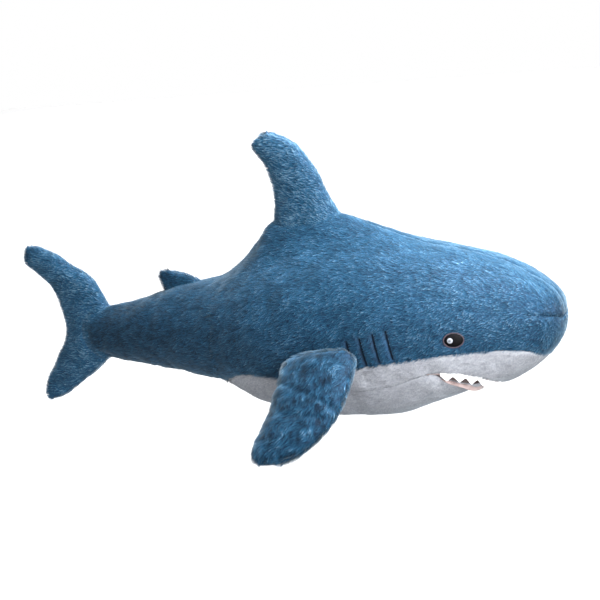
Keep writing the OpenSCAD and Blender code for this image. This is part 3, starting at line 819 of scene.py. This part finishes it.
def belly_and_chin_skin():
    """White plush of the belly, on to the tip of the lower jaw."""
    tip_x = JAW_TIP_X - 0.5 * MM
    jaw = CORNER_X + (tip_x - CORNER_X) * np.sin(np.radians(np.linspace(0, 90, 30)))
    xs = np.concatenate([even_stations(WHITE_START_X, CORNER_X, 2.3 * MM)[:-1], jaw])
    xs = xs[: len(xs) - (len(xs) - 1) % COARSE]
    xs[-1] = tip_x
    low = np.where(xs <= CORNER_X, cheek_angle(xs), angle_at(xs, rim_z(xs)))
    half = body_grid(xs, low, np.full_like(xs, 180.0), 2.3 * MM, WHITE_DEPTH, RIGHT)
    narrow = mix(1, 0.96, smooth_step(0.300, 0.318, xs))
    reach = np.clip((xs - CORNER_X) / (JAW_TIP_X - CORNER_X), 0, 1)
    width = np.abs(half[:, 0, 1]) * narrow
    limit = JAW_HALF_W * np.sqrt(1 - reach**2)
    narrow = narrow * np.where(reach > 0, np.minimum(1, limit / width), 1)
    half[..., 1] *= narrow[:, None]
    rise = 1 - (1 - reach**2.6) ** (1 / 2.6)
    half[..., 2] = mix(half[..., 2], half[:, :1, 2] - 1 * MM, rise[:, None])
    base = np.concatenate([half, half[:, -2::-1] * mirror(LEFT)], 1)
    piece = plush_sheet("belly_and_chin_skin", base, outwards(base), swept_back(base), "white", 43,
                        "low high last", most=2 * MM)
    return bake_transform(piece, "body", "jaw", start=(0.272, 0, 0.06), end=(0.330, 0, 0.06))


for side_name, side in SIDES.items():
    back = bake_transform(back_skin(f"back_skin_{side_name}", side), "body", "tail",
                    start=(-0.110, 0, 0.14), end=(-0.285, 0, 0.14))
    stuffed(back, "plush_blue", 0.8, f"back_panel_{side_name}", f"tail_panel_{side_name}")
    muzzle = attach(muzzle_skin(f"muzzle_skin_{side_name}", side), "body")
    stuffed(muzzle, "plush_white", 0.8, f"muzzle_panel_{side_name}")
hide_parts("body_stuffing", "tail_stuffing")
stuffed(belly_and_chin_skin(), "plush_white", 0.8, "belly_panel", "jaw_panel", "jaw_stuffing")


# ---- fins

# Rows from root to tip, each (rear point, front point, half thickness) in the plane y = 0.
DORSAL_ROWS = [((0.000, 0.300), (0.172, 0.292), 0.030), ((0.008, 0.326), (0.147, 0.322), 0.025),
               ((0.014, 0.354), (0.126, 0.354), 0.021), ((0.015, 0.378), (0.114, 0.378), 0.019),
               ((0.012, 0.402), (0.104, 0.403), 0.018), ((0.004, 0.428), (0.090, 0.429), 0.017),
               ((-0.009, 0.446), (0.075, 0.450), 0.016), ((-0.015, 0.456), (0.063, 0.462), 0.0155),
               ((-0.014, 0.465), (0.051, 0.470), 0.0145), ((-0.008, 0.472), (0.041, 0.475), 0.013),
               ((0.000, 0.476), (0.031, 0.478), 0.0115)]
SECOND_DORSAL_ROWS = [((-0.216, 0.196), (-0.130, 0.206), 0.0125), ((-0.218, 0.214), (-0.138, 0.222), 0.0125),
                      ((-0.221, 0.223), (-0.146, 0.230), 0.012), ((-0.224, 0.231), (-0.155, 0.236), 0.0115),
                      ((-0.225, 0.239), (-0.170, 0.242), 0.011), ((-0.221, 0.245), (-0.188, 0.246), 0.010)]
TAIL_FIN_ROWS = [((-0.494, 0.006), (-0.480, 0.004), 0.009), ((-0.498, 0.015), (-0.466, 0.007), 0.010),
                 ((-0.492, 0.038), (-0.444, 0.017), 0.0115), ((-0.475, 0.068), (-0.413, 0.038), 0.013),
                 ((-0.455, 0.098), (-0.372, 0.066), 0.015), ((-0.440, 0.120), (-0.338, 0.098), 0.017),
                 ((-0.433, 0.142), (-0.330, 0.138), 0.018), ((-0.436, 0.170), (-0.336, 0.176), 0.017),
                 ((-0.444, 0.198), (-0.352, 0.211), 0.015), ((-0.455, 0.222), (-0.368, 0.238), 0.014),
                 ((-0.476, 0.243), (-0.403, 0.260), 0.0135), ((-0.493, 0.256), (-0.434, 0.281), 0.013),
                 ((-0.503, 0.267), (-0.458, 0.292), 0.0125), ((-0.503, 0.279), (-0.473, 0.297), 0.0115),
                 ((-0.498, 0.288), (-0.484, 0.297), 0.010)]
# Flipper rows from root to tip: (distance from the hinge, rear edge, front edge, half thickness).
FLIPPER_ROOT = np.array([0.132, -0.161, 0.130])
FLIPPER_CHORD = np.array([0.985, -0.07, 0.16])
FLIPPER_SPAN = np.array([-0.23, -0.70, -0.675])
FLIPPER_ROWS = [(-0.014, -0.052, 0.055, 0.012), (-0.004, -0.059, 0.066, 0.0165),
                (0.010, -0.060, 0.073, 0.018), (0.030, -0.056, 0.079, 0.0185),
                (0.060, -0.049, 0.085, 0.0185), (0.090, -0.045, 0.088, 0.0175),
                (0.120, -0.044, 0.084, 0.0165), (0.146, -0.043, 0.073, 0.0155),
                (0.164, -0.039, 0.060, 0.014), (0.175, -0.032, 0.045, 0.0125),
                (0.181, -0.022, 0.029, 0.0105)]
FIN_POWER = 2.4


def upright_rows(rows):
    """Fin rows as (rear, front, half thickness) in space."""
    return [(np.insert(a, 1, 0), np.insert(b, 1, 0), half) for a, b, half in rows]


def flipper_rows(side):
    """The flipper's rows as (rear, front, half thickness) in space."""
    flip = mirror(side)
    return [((FLIPPER_ROOT + s * FLIPPER_SPAN + rear * FLIPPER_CHORD) * flip,
             (FLIPPER_ROOT + s * FLIPPER_SPAN + front * FLIPPER_CHORD) * flip, half)
            for s, rear, front, half in FLIPPER_ROWS]


def row_curve(values, share):
    """Smooth curve through the rows' values, at shares from 0 to 1."""
    values = np.array(values)
    if values.ndim > 1:
        return np.stack([row_curve(part, share) for part in values.T], -1)
    return curve(list(zip(np.linspace(0, 1, len(values)), values)), share)


def fin_grid(rows, up, depth, step, round_first=False):
    """Grid over one face of a fin, drawn in by depth, with round tips. up points out of the face."""
    rear, front, half = zip(*rows)
    fine = np.linspace(0, 1, 400)
    centre = (row_curve(rear, fine) + row_curve(front, fine)) / 2
    length = np.concatenate([[0], np.cumsum(np.linalg.norm(np.diff(centre, axis=0), axis=1))])
    widest = np.linalg.norm(np.array(rear) - np.array(front), axis=1).max()
    count = whole_quads(length[-1] / step)
    share = np.interp(np.linspace(0, length[-1], count), length, fine)
    a, b, h = row_curve(rear, share), row_curve(front, share), row_curve(half, share)
    cap = np.radians(np.linspace(0, 90, 3 * COARSE + 1)[1:, None])
    for end, way in [(-1, 1), (0, -1)][: 1 + round_first]:
        middle, spread_half = (a[end] + b[end]) / 2, (b[end] - a[end]) / 2
        ahead = unit(middle - (a[end - way] + b[end - way]) / 2)
        middles = middle + ahead * h[end] * 0.4 * np.sin(cap)
        spread = spread_half * np.cos(cap)
        tips = middles - spread, middles + spread, h[end] * np.cos(cap[:, 0])
        a, b, h = (np.concatenate([line, tip] if way == 1 else [tip[::-1], line])
                   for line, tip in zip((a, b, h), tips))
    c = np.sin(np.radians(np.linspace(-90, 90, whole_quads(widest * 1.15 / step))))
    outline = np.concatenate([a, b[::-1]])
    inward = np.cross(up, unit(np.gradient(outline, axis=0)))
    inward = inward * np.sign(((outline.mean(0) - outline) * inward).sum())
    a, b = a + depth * inward[: len(a)], b + depth * inward[len(a):][::-1]
    spots = mix(a[:, None], b[:, None], ((1 + c) / 2)[None, :, None])
    swell = (1 - np.abs(c) ** FIN_POWER) ** (1 / FIN_POWER)
    return spots + (np.maximum(h - depth, 0.3 * h)[:, None] * swell)[..., None] * np.asarray(up, float)


def fin_skin(name, rows, up, comb, seed, round_first=False, creases=None, **look):
    """One face of a fin. round_first rounds its first row too, and look goes to plush_sheet."""
    base = fin_grid(rows, up, BLUE_DEPTH, 2.0 * MM, round_first)
    dips = creases(base) if creases else None
    seams = "low high last first" if round_first else "low high last"
    return plush_sheet(name, base, np.broadcast_to(np.asarray(up, float), base.shape),
                       np.asarray(comb, float), "blue", seed, seams, dips, wrinkle=0.6 * MM,
                       seam_depth=1.8 * MM, most=2.5 * MM, **look)


def tail_seam(base):
    """The sewn arc round the end of the tail."""
    z = np.linspace(-0.050, 0.050, 21)
    arc = np.stack([TAIL_END_X - 2 * MM + 0.030 * (z / 0.050) ** 2, 0 * z, TAIL_Z + z], -1)
    return groove(line_distance(base * np.array([1, 0, 1]), arc), 4.0 * MM, 4 * MM)


def flipper_creases(base):
    """Two soft folds across the flipper, where it bends."""
    flip = mirror(np.sign(base[0, 0, 1]))
    root, span, chord = FLIPPER_ROOT * flip, FLIPPER_SPAN * flip, FLIPPER_CHORD * flip
    s = (base - root) @ span / (span @ span)
    c = (base - root) @ chord
    near_fold = groove(s - 0.062 - 0.2 * c, 1.6 * MM, 5 * MM)
    return near_fold + groove(s - 0.100 + 0.15 * c, 1.4 * MM, 5 * MM)


for side_name, side in SIDES.items():
    up = (0, side, 0)
    # shade=0.15 is painted light: the dorsal fin's pile is painted lighter than the body's.
    dorsal = fin_skin(f"dorsal_skin_{side_name}", upright_rows(DORSAL_ROWS), up, (-0.75, 0, 0.25),
                      51 + side, shade=0.15)
    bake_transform(dorsal, "body", "dorsal_fin", start=(0.08, 0, 0.326), end=(0.08, 0, 0.372))
    stuffed(dorsal, "plush_blue", 0.7, f"dorsal_panel_{side_name}")

    small = fin_skin(f"second_dorsal_skin_{side_name}", upright_rows(SECOND_DORSAL_ROWS), up,
                     (-0.9, 0, 0.1), 55 + side)
    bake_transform(small, "tail", "second_dorsal_fin", start=(-0.182, 0, 0.216), end=(-0.182, 0, 0.236))
    stuffed(small, "plush_blue", 0.7, f"second_dorsal_panel_{side_name}")

    # shade=0.24 is painted light: the tail fin's pile is painted lighter than the tail's.
    tail_fin = fin_skin(f"tail_fin_skin_{side_name}", upright_rows(TAIL_FIN_ROWS), up,
                        (-0.9, 0, 0.1), 59 + side, True, tail_seam, shade=0.24)
    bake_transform(tail_fin, "tail", "tail_fin", start=(-0.338, 0, 0.14), end=(-0.405, 0, 0.14))
    stuffed(tail_fin, "plush_blue", 0.7, f"tail_fin_panel_{side_name}")

    rows = flipper_rows(side)
    chord = rows[3][1] - rows[3][0]
    span = rows[6][0] - rows[3][0]
    out = unit(np.cross(span, chord))
    out = out * np.sign(out[2])
    lie = unit(span) - 0.25 * unit(chord)
    hinge, reach = FLIPPER_ROOT * mirror(side), FLIPPER_SPAN * mirror(side)
    for face, way in (("top", 1), ("underside", -1)):
        # shade=-0.1 is painted shade: the flippers' pile is painted darker.
        flipper = fin_skin(f"flipper_{face}_skin_{side_name}", rows, way * out, lie,
                           65 + 3 * side + way, True, flipper_creases, stray=0.6, shag=1.3, shade=-0.1)
        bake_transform(flipper, "body", f"flipper_{side_name}",
                 start=hinge - 0.030 * reach, end=hinge + 0.022 * reach)
        stuffed(flipper, "plush_blue", 0.7, f"flipper_{face}_{side_name}")
    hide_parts(f"flipper_stuffing_{side_name}")
for fin in ("dorsal", "second_dorsal", "tail_fin"):
    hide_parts(f"{fin}_stuffing")


# ---- mouth

def mouth_lining():
    """One fold of lining: forward under the upper lip, back to the throat, and out over the jaw."""
    v = np.linspace(-1.2, 1.2, 73)
    over = np.clip((np.abs(v) - 1) / 0.2, 0, 1)
    v = np.clip(v, -1, 1)
    palate_x = LIP_X - 2 * MM - (LIP_X - THROAT_X) * np.linspace(0, 1, 41) ** 1.2
    jaw_x = mix(THROAT_X, JAW_TIP_X - 5 * MM, np.linspace(0, 1, 33)[1:])
    rows = []
    for x in palate_x:
        edge = skin(x, angle_at(x, curve(LIP_LINE, x)), 3.5 * MM)
        z = curve(LIP_LINE, x) - 1 * MM + 9 * MM * (1 - v**2) * smooth_step(LIP_X, 0.385, x)
        rows.append(np.stack([np.full_like(v, x), v * abs(edge[1]) + np.sign(v) * over * 1 * MM, z], -1))
    for x in jaw_x:
        edge = skin(x, angle_at(x, rim_z(x)), 3.5 * MM)
        reach = np.clip((x - CORNER_X) / (JAW_TIP_X - 4 * MM - CORNER_X), 0, 1)
        half = min(abs(edge[1]) * 0.96, (JAW_HALF_W - 5 * MM) * math.sqrt(1 - reach**2) + 1 * MM)
        z = rim_z(x) + (1 - 3.5 * (1 - v**2) ** 0.3) * MM - 5 * MM * (1 - v**2) * (1 - reach**4)
        lip = smooth_step(CORNER_X, CORNER_X + 25 * MM, x)
        z = z - lip * (5 + 8 * smooth_step(0.345, JAW_TIP_X - 6 * MM, x)) * MM * over**1.5
        y = v * half + np.sign(v) * lip * 3.5 * MM * np.sqrt(over)
        rows.append(np.stack([np.full_like(v, x), y, z], -1))
    outer = np.array(rows)
    outer = outer[: len(outer) - (len(outer) - 1) % COARSE]
    normals = grid_normals(outer, np.broadcast_to(np.array([0.3, 0, -1.0]), outer.shape))
    outer = outer + (0.5 * MM * soft_noise(outer, 12 * MM, 71))[..., None] * normals
    inner = (outer - 1.2 * MM * normals)[::COARSE, ::COARSE]
    piece = fabric_sheet("mouth_lining", outer, inner, LINING, normals)
    slope = math.radians(JAW_SLOPE)
    down = Vector((-math.sin(slope), 0, -math.cos(slope)))
    corner = Vector((CORNER_X, 0, CORNER_Z))
    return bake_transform(piece, "body", "jaw", start=corner - 8 * MM * down, end=corner)


TEETH_PER_SIDE, TOOTH_H, TOOTH_BAND, FELT_T = 7, 9 * MM, 4 * MM, 2.0 * MM
FIRST_TOOTH_X = CORNER_X + 14 * MM


def lip_point(u, depth):
    """Point of the upper lip, from the strip's right end at -1 round the front to 1."""
    x = FIRST_TOOTH_X + (LIP_X - FIRST_TOOTH_X) * np.cos(np.radians(90 * np.abs(u)))
    p = skin(x, cheek_angle(x), depth)
    p[..., 1] *= np.where(u < 0, 1, -1)
    return p


def tooth_strip():
    """Felt strip with rounded triangular teeth, hanging inside the upper lip."""
    columns = 2 * TEETH_PER_SIDE * 16 + 1
    u = np.linspace(-1, 1, columns)
    lip = lip_point(u, 2.0 * MM)
    run = unit(np.gradient(lip, axis=0))
    inward = unit(np.stack([-run[:, 1], run[:, 0], np.zeros(columns)], -1))
    inward = inward * np.sign((inward * (np.array([0.30, 0, 0]) - lip)[:, :3]).sum(-1))[:, None]
    phase = (u * TEETH_PER_SIDE) % 1
    point = np.clip(1 - np.abs(2 * phase - 1), 0, 1)
    point = 1 - (1 - point**1.25) ** 1.15
    rng = np.random.default_rng(81)
    sizes = np.repeat(mix(0.85, 1.08, rng.random(2 * TEETH_PER_SIDE)), 16)
    foot = TOOTH_BAND + TOOTH_H * point * np.append(sizes, sizes[-1])
    w = np.linspace(-0.35, 1, 13)
    drop = w[None, :] * foot[:, None]
    outer = lip[:, None] - drop[..., None] * np.array([0, 0, 1.0])
    outer = outer + (0.14 * drop)[..., None] * inward[:, None]
    thick = FELT_T * (1 - 0.5 * np.clip(w, 0, 1)[None, :] ** 3) * np.ones((columns, 1))
    inner = outer + thick[..., None] * inward[:, None]
    outer = outer - (0.25 * MM * (1 + soft_noise(outer, 5 * MM, 82)))[..., None] * inward[:, None]
    return fabric_sheet("felt_teeth", outer, inner, FELT, -inward[columns // 2], ratio=1)


lining = mouth_lining()
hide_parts("palate_lining", "jaw_lining")
sewn_on(tooth_strip(), "felt_white", "upper_teeth")


# ---- eyes, gills and nose seam

def thread_mesh(name, points, radius, material, twist=2.2 * MM, sides=10):
    """A two-ply twisted thread along points, with round ends."""
    points = np.asarray(points)
    length = np.concatenate([[0], np.cumsum(np.linalg.norm(np.diff(points, axis=0), axis=1))])
    count = max(12, round(length[-1] / (0.5 * MM)))
    even = np.linspace(0, length[-1], count)
    line = np.stack([np.interp(even, length, points[:, k]) for k in range(3)], -1)
    run = unit(np.gradient(line, axis=0))
    side_way = unit(np.cross(run, np.array([1, 0.3, 0.2])))
    over = np.cross(run, side_way)
    short = (1 - np.minimum(even, even[::-1]) / radius).clip(0, 1)
    ends = np.minimum(1, np.sqrt(np.maximum(1 - short**2, 0.01)))
    angles = np.linspace(0, 2 * math.pi, sides, endpoint=False)
    rings = []
    for k in range(count):
        turn = math.pi * even[k] / twist
        r = radius * ends[k] * (0.82 + 0.18 * np.abs(np.cos(angles - turn)))
        spokes = np.cos(angles)[:, None] * side_way[k] + np.sin(angles)[:, None] * over[k]
        rings.append(line[k] + r[:, None] * spokes)
    vertices = np.array(rings).reshape(-1, 3)
    faces = []
    for k in range(count - 1):
        for j in range(sides):
            a, b = k * sides + j, k * sides + (j + 1) % sides
            faces.append((a, b, b + sides, a + sides))
    faces += [tuple(range(sides))[::-1], tuple(range((count - 1) * sides, count * sides))]
    return add_mesh(name, vertices, faces, material)


def stitched_oval(name, x, z, w, h, low, high, material, side, pitch=0.8 * MM, slant=0.35):
    """A domed oval patch of satin stitches, w by h, from low at its edge to high in its middle."""
    rings, spokes = 17, 65
    radius = np.sin(np.radians(np.linspace(0, 90, rings)))[:, None]
    angle = np.linspace(0, 2 * math.pi, spokes)[None, :]
    px, pz = x + w / 2 * radius * np.cos(angle), z + h / 2 * radius * np.sin(angle)
    stitches = 0.18 * MM * np.abs(np.sin(math.pi * ((pz - z) + slant * (px - x)) / pitch))
    stitches = stitches * np.sqrt(1 - radius**2 + 0.02)
    lift = mix(low, high, np.sqrt(np.clip(1 - radius**2, 0, 1)) ** 0.8) + stitches
    outer = on_skin(px, pz, lift, side)
    inner = on_skin(px, pz, np.full_like(px, low - 0.8 * MM), side)
    vertices = [outer[0, 0], *outer[1:, :-1].reshape(-1, 3), *inner[1:, :-1].reshape(-1, 3), inner[0, 0]]
    faces = []
    n = spokes - 1
    for start, flip in ((1, 1), (1 + (rings - 1) * n, -1)):
        centre = 0 if flip == 1 else len(vertices) - 1
        for j in range(n):
            k = (j + 1) % n
            faces.append((centre, start + j, start + k)[::flip])
            for i in range(rings - 2):
                a = start + i * n
                faces.append((a + j, a + n + j, a + n + k, a + k)[::flip])
    top, bottom = 1 + (rings - 2) * n, 1 + (2 * rings - 3) * n
    faces += [(top + j, bottom + j, bottom + (j + 1) % n, top + (j + 1) % n) for j in range(n)]
    if side == LEFT:
        faces = [f[::-1] for f in faces]
    return add_mesh(name, np.array(vertices), [f[::-1] for f in faces], material)


def eye(side_name, side):
    """An embroidered eye: patch, outline, highlight and the dot in it."""
    patch = stitched_oval(f"eye_{side_name}", EYE_X, EYE_Z, EYE_W - 2 * MM, EYE_H - 2 * MM,
                          -1.6 * MM, 0.6 * MM, BLACK_THREAD, side)
    a = np.linspace(0, 2 * math.pi, 90)
    ring = on_skin(EYE_X + EYE_W / 2 * np.cos(a), EYE_Z + EYE_H / 2 * np.sin(a),
                   np.full(90, -1.0 * MM), side)
    rim = thread_mesh(f"eye_outline_{side_name}", ring, 0.8 * MM, TAN_THREAD)
    glint = stitched_oval(f"eye_highlight_skin_{side_name}", EYE_X - 5 * MM, EYE_Z, 8.6 * MM, 8.6 * MM,
                          0.4 * MM, 1.3 * MM, WHITE_THREAD, side, pitch=0.7 * MM, slant=-0.2)
    dot = stitched_oval(f"eye_highlight_dot_{side_name}", EYE_X - 5.5 * MM, EYE_Z, 3.8 * MM, 3.8 * MM,
                        1.2 * MM, 1.7 * MM, GREY_THREAD, side)
    sewn_on(patch, "thread_black", f"eye_patch_{side_name}")
    sewn_on(rim, "thread_tan", f"eye_rim_{side_name}")
    sewn_on(glint, "thread_white", f"eye_highlight_{side_name}")
    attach(dot, "body")


for side_name, side in SIDES.items():
    eye(side_name, side)
    for i in range(GILL_COUNT):
        gill = thread_mesh(f"gill_stitch_{i + 1}_{side_name}", gill_line(i, side, -2.6 * MM),
                           1.5 * MM, NAVY_THREAD)
        sewn_on(gill, "thread_navy", f"gill_stitches_{side_name}")
dart = thread_mesh("nose_dart_seam", dart_line(-4.6 * MM), 0.8 * MM, NAVY_THREAD)
sewn_on(dart, "thread_navy", "nose_dart_stitch")


for piece in [o for o in bpy.context.scene.objects if "plush" in o]:
    grow(piece, PLUSH[piece["plush"]]["group"])


# ---- stage, lights and camera

def floor():
    """A pale floor just below the toy."""
    bpy.ops.mesh.primitive_plane_add(size=10, location=(0, 1.5, -0.5 * MM))
    plane = bpy.context.object
    plane.name = "floor"
    material, tree = new_material("pale_floor")
    shades = (0.3, (0.93, 0.93, 0.94)), (0.7, (0.97, 0.97, 0.97))
    surface(tree, {"Base Color": ramp(tree, noise(tree, 3, 2), *shades), "Roughness": 0.95})
    plane.data.materials.append(material)
    plane.visible_glossy = False
    return plane


def area_light(name, place, target, size, power, lit):
    """A lamp that lights the listed objects only."""
    light = bpy.data.lights.new(name, "AREA")
    light.shape = "RECTANGLE"
    light.size, light.size_y = size
    light.energy = power
    lamp = bpy.data.objects.new(name, light)
    bpy.context.scene.collection.objects.link(lamp)
    lamp.location = place
    lamp.rotation_euler = (Vector(target) - Vector(place)).to_track_quat("-Z", "Y").to_euler()
    receivers = bpy.data.collections.new(f"{name}_receivers")
    for item in lit:
        receivers.objects.link(item)
    lamp.light_linking.receiver_collection = receivers
    lamp.light_linking.blocker_collection = receivers


def world(level, overhead):
    """A white studio, brighter at eye level than overhead."""
    shade = bpy.data.worlds.new("studio")
    bpy.context.scene.world = shade
    shade.use_nodes = True
    shade.cycles_visibility.glossy = False
    tree = shade.node_tree
    way = make(tree, "ShaderNodeTexCoord").outputs["Generated"]
    height = make(tree, "ShaderNodeSeparateXYZ", {"Vector": way}).outputs["Z"]
    fall = make(tree, "ShaderNodeMapRange", {"Value": height, "From Min": 0.1, "From Max": 0.3,
                                             "To Min": level, "To Max": overhead})
    tree.nodes["Background"].inputs["Color"].default_value = (1, 1, 1, 1)
    tree.links.new(fall.outputs["Result"], tree.nodes["Background"].inputs["Strength"])


def camera(azimuth, elevation, roll, target, distance, lens):
    """A camera that looks at target; azimuth 0 sees the right side and 90 the nose."""
    a, e, r = (math.radians(v) for v in (azimuth, elevation, roll))
    back = Vector((math.sin(a) * math.cos(e), -math.cos(a) * math.cos(e), math.sin(e)))
    level = Vector((math.cos(a), math.sin(a), 0))
    upright = back.cross(level)
    right = math.cos(r) * level + math.sin(r) * upright
    up = -math.sin(r) * level + math.cos(r) * upright
    data = bpy.data.cameras.new("camera")
    data.lens, data.sensor_width = lens, 36
    eye_point = bpy.data.objects.new("camera", data)
    turn = Matrix((right, up, back)).transposed()
    eye_point.matrix_world = Matrix.Translation(Vector(target) + distance * back) @ turn.to_4x4()
    bpy.context.scene.collection.objects.link(eye_point)
    bpy.context.scene.camera = eye_point


made = [o for o in bpy.context.scene.objects if o.type == "CURVES" or o.get("plush")]
made += [o for o in bpy.context.scene.objects
         if o.type == "MESH" and not o.get("plush") and not o.hide_render]
area_light("top_light", (0.75, -0.1, 1.7), (0.2, 0, 0.2), (1.0, 0.9), 160, made)
area_light("front_fill", (1.6, -1.3, 0.75), (0.35, 0, 0.2), (0.8, 0.8), 64, made)
area_light("floor_light", (0, 1.5, 6.0), (0, 1.5, 0), (12, 12), 1080, [floor()])
world(1.0, 0.34)
camera(azimuth=24, elevation=13, roll=-6, target=(0.042, 0, 0.1925), distance=2.4, lens=84)
bpy.context.scene.view_settings.view_transform = "Standard"
